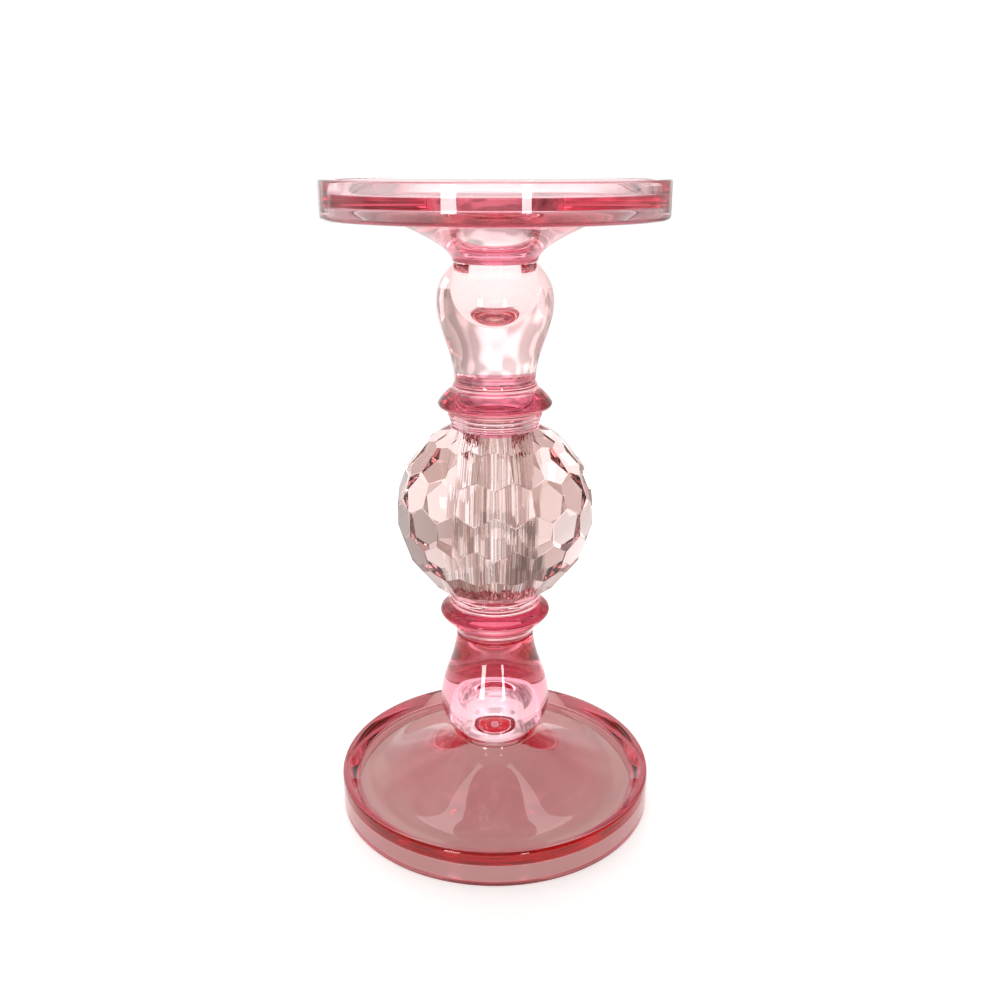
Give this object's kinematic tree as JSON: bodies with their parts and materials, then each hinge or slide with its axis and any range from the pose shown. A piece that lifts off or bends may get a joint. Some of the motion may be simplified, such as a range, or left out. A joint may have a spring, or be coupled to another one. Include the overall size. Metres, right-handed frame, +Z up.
{
  "type": "glass candlestick",
  "caption": "Pedestal holder for a pillar candle: round dish and base joined by a bonded stem of bulbs, rings and a faceted ball.",
  "frame": {"origin": "middle of the base's underside", "axes": "+Z up along the stem's axis, -Y towards the front, where one facet of the ball's middle row faces"},
  "size_m": [0.1, 0.1, 0.197],
  "materials": {
    "top_glass": "fire-polished pale pink glass",
    "stem_glass": "fire-polished pink glass",
    "ball_glass": "cut and polished pale pink crystal",
    "base_glass": "fire-polished dusty pink glass",
    "adhesive": "clear cured adhesive"
  },
  "bodies": {
    "root": {"top_dish": "top_glass", "upper_bulb": "stem_glass", "upper_ring": "stem_glass", "faceted_ball": "ball_glass", "lower_ring": "stem_glass", "lower_bulb": "stem_glass", "base_dish": "base_glass", "bond_dish_bulb": "adhesive", "bond_bulb_ring_upper": "adhesive", "bond_ring_ball_upper": "adhesive", "bond_ring_ball_lower": "adhesive", "bond_ring_bulb_lower": "adhesive", "bond_bulb_base": "adhesive"}
  },
  "joints": []
}
